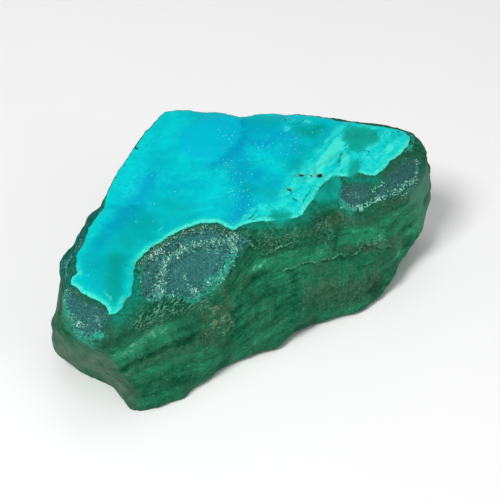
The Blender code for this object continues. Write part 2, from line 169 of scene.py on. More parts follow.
# Where the druse is darker and plainer, and where the rim of the crust is no brighter than the rest.
ON_PLAN["dim"] = [(5, 1, (-32, -28), (-29, -33)), (3.6, 1, (21, 3.4), (32.6, 10.3), (35.6, 13.2))]
ON_PLAN["plain_rim"] = [(2.6, 1, (-31, -6), (-34, -18)), (2.2, 0.9, (-23, -29.5), (-22.5, -20))]
ON_PLAN["white_grains"] = [
    (0.4, 1, (-11.4, -21), (-10.6, -20.4)), (0.4, 0.9, (-32.8, -31.8), (-31.9, -32.4)),
    (0.6, 0.7, (-19.2, -16.8), (-17.9, -14.9)), (0.8, 0.25, (-3.6, -10.6), (-3.2, -12.2)),
    (0.4, 0.4, (21.1, 0.9), (24.5, 1.8), (27.7, 3.7)), (0.3, 0.7, (25.4, 4.2), (26.6, 5.4), (27.8, 6.4)),
]
# Small bites out of the edge of the crust.
ON_PLAN["nick"] = [(0.5, 1, (-24, 13.8)), (0.3, 1, (-26.2, 8.6)), (0.4, 1, (32, 20.9))]

# These wander a little in plan.
ON_TOP = {}
ON_TOP["crack"] = [
    (0.22, 0.9, (7.6, 25.1), (8, 22.7), (9.1, 21.9), (10.8, 22.8), (11.9, 24.4)),
    (0.2, 0.7, (8.3, 2.6), (8.4, 1), (8.8, -0.1), (10, -0.5)),
    (0.25, 0.9, (-0.4, -5.6), (0.6, -4.2), (1.5, -2.9)), (0.2, 0.8, (0.6, -5.8), (1.7, -4.2)),
    (0.2, 0.8, (22.9, 13.9), (24, 14.9), (25.3, 14.7), (25.6, 13.4)),
    (0.2, 0.5, (12.7, 2.4), (11.4, 0.6), (10.8, -1.6)),
    (0.3, 0.9, (20.2, 15.6), (19.8, 13.6), (19.2, 12), (18.3, 10.1)),
]
# The pale seams and the mint edges of the druse.
ON_TOP["seam"] = [
    (0.65, 1, (-17.6, -24.6), (-17.4, -21.4), (-16.9, -18.4), (-15.4, -15.6), (-13.2, -13.6)),
    (0.5, 0.9, (-13.2, -13.6), (-10.4, -12.1), (-7.2, -11.3), (-4.4, -10.9)),
    (0.9, 0.6, (-4, -10.3), (-3.4, -12)), (0.4, 0.45, (-13.2, -18.6), (-12.4, -20.2), (-10.7, -20.6)),
    (0.6, 0.6, (-8.4, -12.9), (-6.6, -12.8)), (0.5, 0.7, (-33.9, -30.7), (-32.3, -32.2), (-31.5, -32.7)),
    (0.5, 0.7, (-29.6, -31), (-28.8, -32), (-28.8, -33.2)),
    (
        0.35, 1, (20, 0.7), (22.8, 1), (24.5, 1.7), (27.7, 3.7), (31.4, 5.7), (33.2, 7.3), (35, 9.4),
        (35.6, 12), (35.9, 14.5),
    ),
    (0.3, 0.9, (25, 3.7), (26.3, 5.3), (27.5, 6.1)), (0.4, 0.8, (21, 3.6), (22.6, 3)),
]
ON_TOP["mint_border"] = [
    (1.05, 1, (-12, -23), (-9.8, -21.2), (-7.6, -19.2), (-5.6, -17), (-4.2, -14.8), (-3, -12.4)),
    (0.9, 0.8, (-8.9, -18.6), (-7.4, -17.4)),
    (0.8, 0.8, (-19.5, -27), (-17, -25.2), (-14.4, -24), (-12.2, -22.6)),
    (0.6, 0.7, (-21.4, -19.4), (-21.3, -22.6)),
    (0.8, 0.9, (-36, -24.8), (-35.8, -27.5), (-34.9, -30.6), (-33.2, -33.1), (-30.7, -34.8), (-28.2, -34.6)),
    (0.9, 1, (19.2, 1.2), (20.6, 0.4)), (0.8, 0.8, (35, 20.4), (35.2, 18), (33.8, 15.9)),
    (1, 0.5, (-33.6, -32.4), (-31.3, -34.6), (-29.2, -35.8)), (0.6, 0.9, (-9.9, -9.3)),
]
# The teal shelf down the left side and the brighter green one under the front of the crust.
ON_TOP["shelf"] = [
    (2.2, 1, (-32.1, -4.1), (-34.4, -11.3), (-36.4, -18.5), (-36.2, -23)),
    (0.8, 1, (-1, -7.6), (1.6, -7.1), (4.4, -6.7), (7.7, -6.2), (10.1, -5.2)),
    (1.1, 1, (10.8, -4.6), (12.4, -2.6), (14.2, -0.4), (16.5, 0.2), (18.2, 0.5)),
    (1.8, 1, (-25, -31.8), (-23, -29.3), (-21.6, -27), (-21.4, -22)),
    (1.1, 1, (20.6, 6.8), (23, 6.4), (25, 6.5), (26.6, 7)),
]
# The slate part of it, down the left, and the pale streaks there.
ON_TOP["slate_shelf"] = [(3, 1, (-29.5, 0), (-31.5, -3.4), (-34.2, -11), (-36.4, -18.5), (-36.4, -24))]
ON_TOP["shelf_streak"] = [
    (0.45, 0.9, (-33.4, -11.6), (-34.8, -14.4), (-35.9, -17.6), (-36.2, -21.7)),
    (0.5, 0.8, (-36.4, -15.4), (-37, -18.6)), (0.3, 0.8, (-33.4, -10.2), (-34.9, -12.8)),
]
# The deeper creases of the crust, and its brighter and greener stretches.
ON_TOP["deep_blue"] = [
    (1.7, 0.8, (-1.4, 24.5), (-1.1, 18.6), (-2.3, 15), (-4.6, 11.8), (-8, 9.2)),
    (2.8, 0.6, (-0.9, 21.5), (2.6, 20.2), (6, 18.7), (8.6, 17.6)),
    (3, 0.6, (-2.4, 13.4), (-0.8, 9.9), (-2, 6)),
    (2.4, 0.65, (1.5, 6.8), (-0.4, 2), (-1.4, -2.9), (-2.4, -6.6)),
    (2.2, 0.7, (-30, -13.2), (-28.4, -10.4), (-25.2, -6.3), (-23.7, -2), (-21.8, 1.4), (-20.5, 4.6)),
    (0.8, 0.4, (-29.3, -3.1), (-26, -3)), (1.8, 0.3, (-15.7, 3.1), (-9.9, 3.2)),
    (1.8, 0.25, (-30.6, -14.5), (-30, -19)), (2.6, 0.4, (8.5, 13), (9.6, 15.6)),
    (2.4, 0.35, (4.1, 3.7), (2, 6)), (1.8, 0.75, (0, 17.8), (2.6, 16), (4.7, 17.2)),
]
ON_TOP["bright_cyan"] = [
    (3, 0.5, (-16, 22), (-18, 18)), (2.6, 0.7, (-21.7, 16.5), (-24.1, 8.9), (-25.7, 1.6)),
    (3.2, 0.6, (-9.4, 6.7), (-6.6, 3.7), (-7.4, -0.4)), (1.3, 1, (-6.4, 7), (-5.2, 4.5)),
    (2.6, 0.9, (2.5, 12.1), (5.3, 10.1), (6.9, 8.5)), (4, 0.4, (-13.5, 7.5)),
    (0.45, 0.9, (-13.8, -5), (-10.1, -4.1), (-7.3, -3.3)), (0.4, 0.6, (-11.5, -1.8), (-8.6, -1.6)),
    (1.4, 0.6, (-32.4, -14.5), (-31, -9.5), (-29.2, -5)),
]
ON_TOP["teal"] = [
    (2.6, 1, (-26, -28), (-26.1, -22), (-26.4, -17)), (4, 0.6, (-20, -7), (-24, -12), (-27, -20)),
    (2.6, 0.4, (-30, -12), (-30.5, -18), (-29, -24)), (3, 0.45, (-13, -5.5), (-17, -2.5)),
    (2, 1, (11.2, 19.6), (13.3, 19.1), (15.1, 21.5)), (2, 0.5, (1.4, 23), (5, 22)),
    (1.8, 0.55, (11.6, 14), (8.5, 8.5)), (1.6, 0.5, (-0.4, 2.9), (2.1, 1.8), (5, 0.6)),
    (1.3, 0.5, (10.2, 9.6), (13, 14.2), (15.8, 18)), (0.9, 0.6, (21.4, 14.4), (23.6, 14.2)),
]
ON_TOP["mint"] = [
    (1.1, 1, (12.4, 5.4), (13.8, 8.4), (15.8, 11.6), (17.8, 14.4), (19, 16.6)),
    (0.9, 1, (17.6, 7.4), (19.2, 9.8), (20.4, 12.4)), (1.2, 0.5, (25.2, 12.4), (27.2, 13.4), (29.6, 15.6)),
    (1.6, 0.42, (8, 20.6), (9.6, 18)), (1.2, 0.5, (9, 24.4), (12, 23.4)),
    (0.7, 0.35, (-25.9, -29.2), (-25.4, -30.4)), (0.5, 0.5, (-27.8, -26.4), (-26.6, -28)),
]

# Bearings in plan, in radians, of the chalky streaks, the splintered rock and the slate shelf.
CHALK_GRAIN = 0.94
SPLINTER_GRAIN = 1.1
SHELF_GRAIN = 1.3

# What else cuts the crust: pits (x, y, radius), and steps, where it stands higher on the left of each path.
PITS = [(14.5, 7.2, 0.6), (12.6, 6.9, 0.3), (10.9, 7.1, 0.4), (10, 6.4, 0.3), (8.2, 2.6, 0.35)]
STEPS = [
    [(17.4, 9.7), (18.6, 10.8), (19.2, 12), (20.4, 13), (20.8, 14.4), (21.9, 15.6)],
    [(9.6, 4.4), (12.2, 5.4), (14, 9.2), (16.4, 10.4), (18.4, 12.6)],
]
STEP_RISE = 0.3
STEP_REACH = 1.6
CRACK_DEPTH = 0.3
PIT_DEPTH = 0.6
WINDOW_DEPTH = 0.15
DOME_RISE = 0.22
LIP_RISE = 0.2
LIP_INSET = 0.7
# The lip is there in front of a line through this place.
LIP_START = (-30, -4)
LIP_CLIMB = 0.364

# Ledges of the wall: (width, depth, strength of the painted highlight on its lip, points). The rock stands
# out above each of them, and the notch under each gets painted shade, darker the deeper the ledge.
WALL_LEDGES = [
    (
        0.5, 0.2, 0.2, (-25.1, -34.6, 12.5), (-22.2, -33.6, 14.2), (-19.5, -32.2, 14.7),
        (-14.3, -28.8, 15.2), (-10.7, -25.2, 14.3),
    ),
    (0.5, 0.15, 0.4, (-26.2, -35.6, 18.5), (-23.2, -34, 20.7), (-19.9, -31.4, 20.9), (-13.6, -26.3, 19.8)),
    (0.4, 0.2, 0, (-4, -20, 13.4), (-2.3, -17.8, 13.7), (1.4, -13.5, 15.3), (5.5, -11.3, 17.2)),
    (
        0.45, 0.25, 1, (5.5, -11.3, 17.2), (12.8, -8, 17.2), (19.3, -3.2, 15), (21.2, -2.4, 14.1),
        (25.6, 0.5, 14.4), (30.2, 3.4, 12.1),
    ),
    (
        0.45, 0.2, 0.2, (-4.8, -18.8, 18), (-2.3, -15.2, 20.6), (-0.3, -12.7, 21.8), (3.2, -10.4, 21.4),
        (12.3, -6.6, 21.4), (16.6, -3.1, 19.3),
    ),
    (0.35, 0.25, 1, (-0.3, -11, 24.9), (1.7, -10.4, 22.5), (3.4, -10.1, 21.9)),
    (0.3, 0.2, 1, (5.3, -9.2, 22.3), (8.1, -8.1, 22.7)),
    (0.3, 0.2, 1, (-5.2, -17.5, 21.5), (-4, -15.5, 23.2)),
    (0.35, 0.12, 0.2, (27.9, 2.5, 18.3), (31.6, 6.5, 17.2), (35, 10.3, 17)),
    (0.35, 0.3, 0, (17.8, -2, 19.2), (17.9, -3.1, 17.1)),
    (0.6, 0.15, 0, (31.8, 6.1, 13.9), (35.3, 10.3, 13.3), (38.3, 14.6, 13.2)),
]
# Lumps and hollows that break the silhouette: (place, how far it stands out).
LUMPS = [
    ((-37, -16.6, 24.9), 0.4), ((-36.7, -22.7, 23.1), -0.7), ((-37.9, -22.4, 18.1), -0.6),
    ((-39, -23.6, 14.9), 0.6), ((-39.2, -21.7, 5.7), 0.5), ((-32.7, -5.2, 27.1), 0.3),
    ((-30.1, -2.8, 28.3), -0.6), ((-35.1, -12.2, 25.8), -0.5), ((36.8, 17.9, 28.1), -0.5),
    ((38.9, 15.8, 15.1), -0.6), ((37.6, 12.9, 9.9), 0.6), ((35.1, 8, 9.3), -0.6), ((31.3, 3.3, 4.8), 0.6),
    ((28, -1.3, 4.1), -0.9), ((14, -9.7, 2.2), -0.4), ((10.1, -12.5, 2.2), -0.5), ((5.7, -15.7, 1.5), 0.5),
    ((3.5, 26.4, 31), -0.5), ((7.5, 26.4, 30.8), -0.5), ((-5.5, -23.1, 2.5), -0.6),
    ((-13.6, -29.5, 0.1), 0.4), ((-26.1, -29, 0.6), 0.4),
]
LUMP_RADIUS = 2.2
DEEP_NOTCH = 0.4  # the depth of a ledge whose notch gets the darkest painted shade
DEEP_RELIEF = 0.6  # and how deep a hollow, darkest in its painted shade, or how high a lump, counts in full
# Smooth breaks of the wall, flattened and given a painted sheen of grey-green: (reach, the way that it faces,
# points), and the end on the right, where the painted sheen is paler.
SMOOTH_BREAKS = [
    (
        5.2, (-0.72, -0.62, -0.3), (-39, -24.6, 9.5), (-34.4, -27.5, 9), (-30.5, -31, 10.5),
        (-28.2, -33.6, 13), (-28.4, -33, 7), (-28.2, -32.4, 2),
    ),
    (6, (-0.98, 0.05, -0.2), (-41, -18, 12), (-40, -12, 12)),
    (4, (0.96, -0.25, 0), (36.6, 12.3, 25.9), (38.3, 14.6, 18), (38.4, 14.7, 11.7)),
]
RIGHT_END = [(6, 1, (37.2, 12.7, 26), (39, 15, 11))]
# How the layers of the wall fold: the height of one of them at each place along x, and shifts that blur it.
FOLD = [
    (-40, 11.5), (-25, 12.5), (-22, 14.2), (-14, 15.2), (-10, 14), (-6, 12.2), (-4, 13.4), (-1, 15.6),
    (5.5, 17.2), (12.8, 17.2), (19, 15.4), (26, 14.3), (40, 13),
]
FOLD_BLUR = (-2.4, -1.2, 0, 1.2, 2.4)

# What the wall is stained with, as strokes in space with uneven edges.
ON_WALL = {}
ON_WALL["brown"] = [
    (1.5, 1, (-8.9, -22.7, 15.4), (-7, -21, 15.9), (-5, -19.8, 15.2)),
    (1.6, 1, (-10.2, -25.4, 12.4), (-8, -23.6, 12.6), (-4, -20.2, 12.9)),
    (1.6, 0.5, (-8.9, -25, 10), (-6, -23, 9.6)),
    (1.3, 0.8, (-5.6, -18.4, 20.4), (-4.8, -18.8, 17.8), (-3.6, -19, 14.8)),
    (1, 0.7, (-26.8, -34.1, 22.7), (-24.6, -33, 23.4), (-21.8, -31.2, 24.1)),
    (1.2, 0.6, (-24.2, -34.5, 11), (-20.3, -32.6, 12.8), (-12.7, -28, 12.8)),
    (1.7, 0.75, (14.4, -3.7, 23.8), (19.5, 0.1, 22.6), (24.7, 0.8, 20.9)),
    (1.6, 1.3, (28.2, 3, 24), (31.6, 5.8, 23.3), (35, 9.4, 22.6)),
    (1.2, 0.9, (19.9, -2.1, 16.1), (26.6, 0.9, 13.6), (33, 7, 12.8)),
    (4.4, 0.9, (14.7, -8.4, 9.6), (20.1, -6.3, 6.6), (27.3, -1.6, 6)),
    (2, 0.5, (2.5, -16.4, 9.6), (6.2, -14.8, 7.5)), (2, 0.4, (-22.8, -32.9, 4.1), (-18.8, -33, 5.1)),
    (1.4, 0.5, (-10.9, -26.1, 13.5), (-8, -23.7, 12.3)), (1.8, 0.5, (8.1, -7.6, 24.6), (14, -5, 22.9)),
    (1.2, 0.6, (-8.9, -19.8, 20.2), (-6.9, -18.3, 21.2)),
    (3, 0.8, (-38, -24, 3), (-33, -27.5, 2), (-28, -30, 1)), (3, 0.6, (-38.5, -25, 16)),
    (1.4, 0.8, (31, 4, 10), (34, 7.5, 10.5)), (9, 0.6, (10, 30, 16)), (8, 0.6, (-26, 18, 12)),
]
ON_WALL["bright_green"] = [
    (1.8, 0.9, (-24.9, -34.7, 16.6), (-22, -33.4, 18.2), (-18.9, -31.2, 18.9), (-15.2, -28.5, 18.4)),
    (1.5, 0.7, (2.4, -11.3, 20), (4.1, -10.8, 19.9), (10.2, -8.4, 18.9), (15.5, -5.7, 17.8)),
    (1.2, 0.8, (-3.8, -18.8, 15.9), (-2.4, -16.6, 16.9), (-1.4, -15.2, 18)),
    (0.8, 1.4, (0, -13.4, 19.3), (1.6, -11.8, 19.6), (3.2, -10.9, 20.1)),
    (1.8, 0.8, (19.2, -1.4, 18.4), (23.1, -0.1, 18), (28, 2.4, 16.7)),
    (2.4, 0.9, (31, 5.5, 15.8), (34.7, 10.2, 15.2), (37.1, 12.9, 15.1)),
    # The next stroke is partly the rock's lighter green and partly painted light, brightening a right-facing
    # stretch that lies in shade.
    (2, 1.5, (32.5, 5.7, 10.1), (34.8, 8.5, 11.1), (36.8, 11.5, 11.5), (37.8, 13.8, 12.5)),
    (1.3, 0.6, (29, 4, 19.6), (33, 8, 19.6), (36, 11.4, 19.8)), (2, 0.5, (-10, -27, 6.4), (-7.6, -25.4, 6.4)),
    (0.9, 0.7, (10.3, -9.5, 14.7)), (0.9, 0.7, (14.4, -8.4, 11.5)), (0.8, 0.6, (28, -0.5, 6)),
    (0.6, 0.4, (2, -15.7, 10.9), (6.2, -13.2, 11.1)), (8, 0.6, (20, 29, 10)), (7, 0.5, (-34, 0, 14)),
]
ON_WALL["dark_green"] = [
    (1.7, 1, (-26, -35.6, 21.5), (-24.3, -34.8, 22.2), (-22.5, -33.5, 22.3)),
    (2, 0.8, (-20.9, -32.2, 22.4), (-19.1, -29.6, 23.4), (-16.4, -26.9, 22.7), (-11.6, -23.2, 21.6)),
    (1.2, 0.8, (-16.4, -28.7, 20.4), (-14.2, -26.9, 19.3)),
    (0.9, 0.8, (-2.4, -16.6, 15.4), (0.6, -13.8, 16.9), (3.4, -12.2, 17.6)),
    (1.6, 0.9, (-2.4, -10.4, 25.2), (1.6, -9.6, 24.2), (5.1, -8.8, 23.4)),
    (1.2, 0.8, (15.8, -1.7, 24.8), (18.7, -0.4, 21.9), (17.8, -2.4, 18.4)),
    (0.9, 1.2, (21.6, -1.6, 15.4), (24.7, 0, 15)), (1.2, 0.6, (15, -8.1, 10.7), (16.8, -7.4, 9.3)),
    (0.5, 1.2, (-1.2, -15, 17.7), (-0.8, -15.2, 16.1)), (2.6, 0.5, (6.2, -13.8, 10), (11.4, -10.9, 9.6)),
    (1.5, 0.5, (-16.8, -31.8, 7.4), (-11.6, -28.5, 3.6)),
    (0.9, 1, (-24.2, -34.5, 12.6), (-19.4, -32.2, 14.2), (-14.7, -29.5, 14.5), (-10.9, -26.4, 13.6)),
    (3, 0.8, (-35, -10, 24.5)), (3, 0.6, (-37, -20, 20)), (8, 0.5, (-30, 8, 16)), (9, 0.5, (-5, 27, 12)),
]
# Where the brown is palest, almost cream.
ON_WALL["tan"] = [
    (1.3, 0.9, (-7.4, -22, 13.4), (-5.4, -20.8, 13.4), (-3.8, -19.8, 13.6)),
    (1, 0.7, (-7.4, -21.4, 16.6), (-5.2, -19.9, 15.8)), (1, 0.6, (-7.2, -22.6, 11.2)),
    (0.9, 0.8, (-5.4, -22, 10.8), (-3.8, -20.6, 11.4)),
]
# Smooth teal green just below the front of the crust.
ON_WALL["smooth_green"] = [
    (1.1, 1, (-1, -7.9, 26.2), (2.4, -7.6, 25.9), (6.1, -7, 25.9), (9.3, -6, 25.7), (12.2, -3.4, 26.2)),
]
# Where loose splinters of fibre lie thick.
ON_WALL["splintered"] = [
    (1.7, 1, (-20.9, -32.1, 23.1), (-19.1, -30, 23.2), (-15.5, -26, 22.4), (-13.6, -24.2, 21.6)),
    (1.4, 0.9, (-19.1, -30.8, 21.1), (-15.1, -27.3, 21.8), (-12.7, -24.5, 20.6), (-8.9, -21.1, 18.2)),
    (1.8, 0.5, (-0.8, -9.8, 25.4), (4, -8.8, 24), (9.5, -7, 24)),
    (1.8, 0.7, (14.4, -3.7, 23.4), (16.1, -3, 20.5)), (1, 0.8, (23, -0.8, 15.6), (28.6, 2.6, 14.6)),
    (1.2, 0.6, (-8.9, -19.8, 20.2), (-6.9, -18.3, 21.2)),
]

# Where the tiny clear crystals gather on the crust, as strokes in plan.
SPARKLES = [
    (2.6, 1, (-4.6, 10), (-2.4, 5), (-1.5, -2), (-2, -6)), (2.4, 0.7, (1, 14.6), (5, 15.6), (9, 16)),
    (2.4, 0.3, (-6, 20), (-5, 14)), (1.6, 0.6, (-22.5, 2)), (1.6, 0.5, (10, 20), (15, 20)),
]
SPARKLE_COUNT = 300
DRUSE_COUNT = 9000
SPLINTER_COUNT = 2200
BLADE_COUNT = 600
CRYSTAL_SIDES = 5
# Shares of a crystal's length sunk in the skin and below its point, and its width there.
CRYSTAL_ROOT = 0.25
CRYSTAL_NECK = 0.55
CRYSTAL_TAPER = 0.92

# Where each kind of grain stands along the druse's scale of tints. Slate ones lie between 0 and theirs.
SLATE_TINT = 0.36
GREEN_TINT = 0.45
MINT_TINT = 0.65
WHITE_TINT = 0.9
TAN_TINT = 1

# Scales of tints: (place from 0 to 1, red, green, blue).
DRUSE_STOPS = [
    (0, 20, 74, 72), (0.2, 54, 124, 120), (0.4, 104, 174, 166), (0.45, 20, 82, 60), (0.6, 92, 146, 112),
    (0.65, 44, 158, 132), (0.85, 140, 222, 200), (0.9, 214, 246, 236), (1, 206, 196, 160),
]
CLEAR_STOPS = [(0, 40, 212, 228), (0.7, 110, 232, 240), (1, 236, 255, 255)]
FIBRE_STOPS = [(0, 30, 92, 68), (0.4, 66, 142, 112), (0.75, 118, 184, 154), (1, 168, 192, 156)]


def nearest_on_path(points, path):
    """The way from an open path, or from a single place, to each point, and how the path runs there."""
    path = np.array(path, dtype=float)
    offset = np.full(points.shape, np.inf)
    heading = np.zeros(points.shape)
    for start, end in zip(path, path[1:] if len(path) > 1 else path):
        along = end - start
        share = np.clip((points - start) @ along / max(along @ along, 1e-9), 0, 1)
        gap = points - start - share[:, None] * along
        closer = (gap**2).sum(1) < (offset**2).sum(1)
        offset[closer] = gap[closer]
        heading[closer] = along
    return offset, heading


def path_distance(points, path):
    """Distance from each point to an open path, or to a single place, in plan or in space."""
    return np.linalg.norm(nearest_on_path(points, path)[0], axis=1)


def outline_distance(plan, outline):
    """Distance from each plan point to a closed outline, negative inside it."""
    start = np.array(outline)
    way_x, way_y = (np.roll(start, -1, axis=0) - start).T
    x, y = plan[:, :1], plan[:, 1:]
    spans = (start[:, 1] > y) != (start[:, 1] + way_y > y)
    crossing = start[:, 0] + way_x * (y - start[:, 1]) / np.where(way_y == 0, 1e-9, way_y)
    inside = (spans & (x < crossing)).sum(1) % 2 == 1
    nearest = path_distance(plan, [*outline, outline[0]])
    return np.where(inside, -nearest, nearest)


def left_of_path(plan, path):
    """Distance to an open plan path, positive on its left and negative on its right."""
    offset, heading = nearest_on_path(plan, path)
    turn = heading[:, 0] * offset[:, 1] - heading[:, 1] * offset[:, 0]
    return np.sign(turn) * np.linalg.norm(offset, axis=1)


def bell(distance, width):
    """1 at no distance, falling softly to nothing within about twice the width."""
    return np.exp(-((distance / width) ** 2))


def strokes(points, painted):
    """Soft strokes laid over each other, in plan or in space."""
    total = np.zeros(len(points))
    for width, strength, *path in painted:
        total = np.maximum(total, strength * bell(path_distance(points, path), width))
    return total


def smooth_step(value, low, high):
    """Rises smoothly from 0 at the low value to 1 at the high one."""
    share = np.clip((value - low) / (high - low), 0, 1)
    return share * share * (3 - 2 * share)


def bumps(points, size, seed):
    """Smooth noise from about -1 to 1 with lumps of the given size, or sizes along x, y and z."""
    scaled = points / np.array(size, dtype=float) + seed
    return np.array([noise.noise(Vector(p)) for p in scaled])


def wander(points, size, seeds):
    """Smooth noise with one column for each seed, to shift places by."""
    return np.column_stack([bumps(points, size, seed) for seed in seeds])


def uneven(points):
    """The points shifted a little, so that what is laid along paths in space gets uneven edges."""
    return points + 0.5 * wander(points, 1.6, (12, 13, 14))


def placed(name, data):
    """A new object in the scene that shows the data."""
    thing = bpy.data.objects.new(name, data)
    bpy.context.scene.collection.objects.link(thing)
    return thing


def refined_mesh(source):
    """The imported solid, welded and subdivided twice, with its sharper edges kept crisp."""
    work = bmesh.new()
    work.from_mesh(source.data)
    bmesh.ops.remove_doubles(work, verts=work.verts, dist=0.01 * MM)
    crease = work.edges.layers.float.new("crease_edge")
    for edge in work.edges:
        if len(edge.link_faces) == 2:
            edge[crease] = min(max((edge.calc_face_angle(0) - CRISP_ANGLE) * 0.8, 0), 0.6)
    mesh = bpy.data.meshes.new("coarse")
    work.to_mesh(mesh)
    work.free()
    holder = placed("coarse", mesh)
    holder.modifiers.new("refine", "SUBSURF").levels = 2
    graph = bpy.context.evaluated_depsgraph_get()
    refined = bpy.data.meshes.new_from_object(holder.evaluated_get(graph))
    bpy.data.objects.remove(holder)
    return refined


def read_points(mesh):
    """Vertex places in outline-frame millimetres, and vertex normals."""
    places = np.empty(len(mesh.vertices) * 3)
    normals = np.empty(len(mesh.vertices) * 3)
    mesh.vertices.foreach_get("co", places)
    mesh.vertex_normals.foreach_get("vector", normals)
    return places.reshape(-1, 3) / MM + MIDDLE, normals.reshape(-1, 3)


def keep_field(mesh, name, values):
    """Keeps one number for each vertex on the mesh, where materials can read it."""
    layer = mesh.attributes.new(name, "FLOAT", "POINT")
    layer.data.foreach_set("value", values.astype(np.float32))


def smooth_breaks(places, normals):
    """How surely each vertex lies on a smooth break of the wall."""
    total = np.zeros(len(places))
    for reach, facing, *path in SMOOTH_BREAKS:
        facing = np.array(facing) / np.linalg.norm(facing)
        near = smooth_step(-path_distance(places, path), -reach - 2, -reach + 1)
        total = np.maximum(total, near * smooth_step(normals @ facing, 0.45, 0.75))
    return total


def nearest_ledge(places):
    """How far above the nearest ledge each place is, how dark the painted shade in its notch is and how
    bright the painted highlight on its lip.
    """
    above = []
    for _, _, _, *path in WALL_LEDGES:
        offset, _ = nearest_on_path(places, path)
        above.append(np.sign(offset[:, 2]) * np.linalg.norm(offset, axis=1))
    nearest = np.abs(above).argmin(axis=0)
    notch_shades, lip_highlights = np.array([(depth / DEEP_NOTCH, pale) for _, depth, pale, *_ in WALL_LEDGES]).T
    return np.choose(nearest, above), notch_shades[nearest], lip_highlights[nearest]


def regions(points, normals):
    """What lies where on the stone, as named fields with one value for each vertex."""
    x, y, z = points.T
    plan = points[:, :2]
    shift = 0.45 * wander(points, 2.4, (31, 33)) + 0.2 * wander(points, 0.9, (32, 34))
    warped = plan + shift
    ragged = plan + 0.3 * wander(points, 0.7, (37, 38))
    loose = points + 3.5 * wander(points, 6, (41, 42, 43))
    rough = uneven(points)
    bevel = np.maximum(outline_distance(plan, CRUST) - BEVEL_START, 0)
    top = TOP_HEIGHT + TOP_CLIMB * y - TOP_FALL * x - BEVEL_SLOPE * bevel - BEVEL_BEND * bevel**2
    depth = top - z
    crust_edge = outline_distance(plan + 0.5 * shift, CRUST)
    shoulder = outline_distance(plan, SHOULDER)
    on_top = smooth_step(-np.maximum(shoulder, (depth - WALL_START) * 0.7), -0.5, 0.3)
    fold_x, fold_z = np.array(FOLD).T
    fold = np.mean([np.interp(x + blur, fold_x, fold_z) for blur in FOLD_BLUR], axis=0)
    ledge, notch, lip = nearest_ledge(rough)
    field = {
        "crust_edge": crust_edge,
        "depth": depth,
        "on_top": on_top,
        "on_crust": on_top * smooth_step(-crust_edge, -0.1, 0.25),
        "layer": fold - z + 0.5 * bumps(points, 8, 35),
        "dome": smooth_step(-outline_distance(warped, BLUE_DOME), -0.3, 0.5),
        "chalk": smooth_step(-outline_distance(warped, CHALK_AREA), -1.5, 2),
        "crack_line": np.min([path_distance(warped, path) for _, _, *path in ON_TOP["crack"]], axis=0),
        "pit_edge": np.min([path_distance(ragged, [pit[:2]]) - pit[2] for pit in PITS], axis=0),
        # Along each step, for a line of painted shade at its edge.
        "step": np.max([bell(left_of_path(warped, path), 0.35) for path in STEPS], axis=0),
        "front": smooth_step(LIP_START[1] + LIP_CLIMB * (x - LIP_START[0]) - y, 0, 2),
        # Where each place lies from the nearest ledge, and how strong the painted shade in its notch and the
        # painted highlight on its lip are.
        "ledge": ledge,
        "notch": notch,
        "lip": lip,
        # The smooth breaks, flattened in relief and given a painted sheen, paler at the right end.
        "right_end": strokes(loose, RIGHT_END),
        "smooth_break": smooth_breaks(loose, normals),
        "hidden_side": smooth_step(normals[:, 1], -0.3, 0.2),
        "underside": smooth_step(-normals[:, 2], 0.75, 0.95) * smooth_step(-z, -2.5, -1),
    }
    for name, outlines in PATCHES.items():
        field[name] = np.min([outline_distance(warped, outline) for outline in outlines], axis=0)
    for places, named in ((plan, ON_PLAN), (warped, ON_TOP), (rough, ON_WALL)):
        field |= {name: strokes(places, painted) for name, painted in named.items()}
    return field


def crust_relief(points, field):
    """Fine relief of the crust: soft lumps, weathering, cracks, steps, windows, pits and a raised lip."""
    weathered = field["chalk"] * smooth_step(field["window_edge"], -0.2, 0.4)
    wrinkles = np.clip(1 - 2.5 * np.abs(bumps(points, 1.9, 3)), 0, 1)
    push = 0.1 * bumps(points, 2.6, 1) + DOME_RISE * (field["dome"] - field["deep_blue"])
    push += weathered * (0.14 * bumps(points, 1, 2) + 0.12 * wrinkles - 0.05)
    push -= CRACK_DEPTH * field["crack"]
    push -= WINDOW_DEPTH * smooth_step(-field["window_edge"], -0.3, 0.3)
    push += LIP_RISE * bell(field["crust_edge"] + LIP_INSET, 0.6) * field["front"]
    for path in STEPS:
        left = left_of_path(points[:, :2], path)
        push += STEP_RISE * (left > 0) * bell(left, STEP_REACH)
    return push - PIT_DEPTH * smooth_step(-field["pit_edge"], -0.3, 0.2)


def druse_relief(points, field):
    """Fine relief of the druse: a sandy surface with sunken seams and raised lobes."""
    push = 0.14 * bumps(points, 0.8, 4) + 0.14 * bumps(points, 1.8, 5)
    push += 0.35 * smooth_step(-field["lobe"], 0, 2.5)
    return push - 0.1 * bell(field["lobe"], 0.35) - 0.12 * field["seam"]


def wall_relief(points, field):
    """Fine relief of the wall: rough rock with faint layers, ledges and smoother breaks."""
    layered = np.column_stack([points[:, :2], field["layer"]])
    push = 0.12 * bumps(layered, (8, 8, 1.5), 7) + 0.08 * bumps(layered, (4, 4, 0.7), 8)
    push += 0.12 * bumps(points, 1.2, 9) + 0.25 * bumps(points, 3.2, 10) + 0.35 * bumps(points, 7, 11)
    terraces = smooth_step(bumps(layered, (12, 12, 4), 15), -0.12, 0.12) - 0.5
    push += field["hidden_side"] * (0.6 * terraces + 0.4 * bumps(points, 5, 16))
    push *= 1 - 0.85 * field["smooth_break"]
    rough = uneven(points)
    for width, depth, _, *path in WALL_LEDGES:
        push -= depth * bell(path_distance(rough, path), width)
        push += 0.7 * depth * bell(path_distance(rough - [0, 0, 1.5 * width], path), 1.3 * width)
    return push


